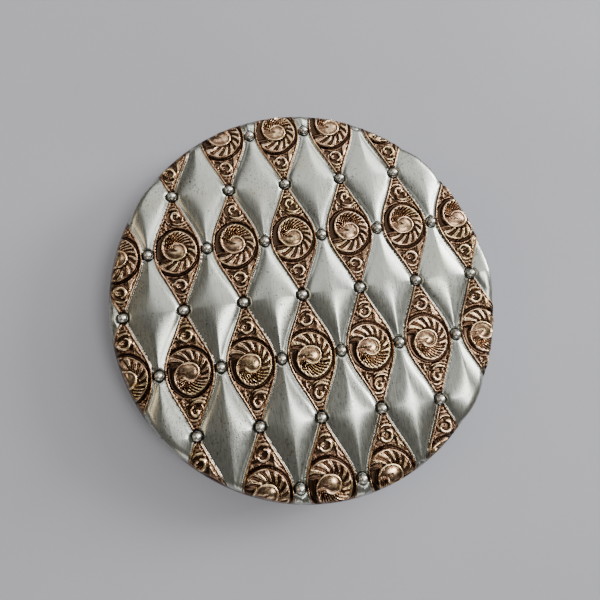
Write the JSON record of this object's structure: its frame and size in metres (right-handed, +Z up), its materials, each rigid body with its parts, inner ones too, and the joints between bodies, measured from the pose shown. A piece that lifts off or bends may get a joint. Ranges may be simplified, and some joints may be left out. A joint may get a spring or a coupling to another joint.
{
  "type": "powder compact",
  "caption": "Round hinged powder compact with a diamond-relief lid, mirror, inner lid, puff, sifter and powder well; press the front button to open it.",
  "frame": {"origin": "centre of the flat underside, on the surface that the closed compact stands on", "axes": "+Z up through the lid; +Y towards the hinge, along the long axis of the lid's diamonds; the catch button is at -Y"},
  "size_m": [0.08, 0.08, 0.0136],
  "materials": {
    "silver_shell": "satin silver tone with fine straight graining, and antiqued copper in part of the lid's relief",
    "gilt": "lacquered, fine turned lines",
    "steel": "plain drawn wire and strip",
    "mirror": "silvered glass",
    "card": "dark pressed card",
    "powder": "pressed face powder",
    "sifter_mesh": "fine woven wire",
    "velour": "short soft pile",
    "satin": "satin weave",
    "ribbon": "grosgrain satin ribbon"
  },
  "bodies": {
    "base": {"base_shell": "silver_shell", "base_collar": "gilt", "deck_plate": "gilt", "powder_well": "gilt", "base_hinge_leaf": "gilt", "hinge_pin": "steel", "inner_hinge_leaf": "gilt", "inner_hinge_pin": "steel", "inner_lid_spring": "steel", "catch_housing": "steel", "catch_spring": "steel", "powder_cake": "powder", "sifter_frame": "gilt", "sifter_screen": "sifter_mesh", "puff": "velour", "puff_backing": "satin", "puff_ribbon": "ribbon"},
    "lid": {"lid_shell": "silver_shell", "lid_frame": "gilt", "lid_hinge_leaf": "gilt", "lid_catch_lip": "steel", "mirror_glass": "mirror", "mirror_backing": "card", "mirror_bezel": "gilt"},
    "inner_lid": {"powder_lid": "gilt", "powder_lid_leaf": "gilt"},
    "button": {"catch_button": "gilt", "catch_tongue": "steel"}
  },
  "joints": [
    {"name": "lid_hinge", "type": "hinge", "parent": "base", "child": "lid", "pos_m": [0, 0.0381, 0.0073], "axis": [-1, 0, 0], "range_deg": [0, 105]},
    {"name": "inner_lid_hinge", "type": "hinge", "parent": "base", "child": "inner_lid", "pos_m": [0, 0.0316, 0.0075], "axis": [-1, 0, 0], "range_deg": [0, 63]},
    {"name": "button_press", "type": "slide", "parent": "base", "child": "button", "axis": [0, 1, 0], "range_m": [0, 0.001], "stiffness_N_per_m": 200, "springref_m": -0.002, "deforming": ["catch_spring"]}
  ],
  "couplings": [
    {"joint": "inner_lid_hinge", "follows": "lid_hinge", "ratio": 0.6}
  ]
}
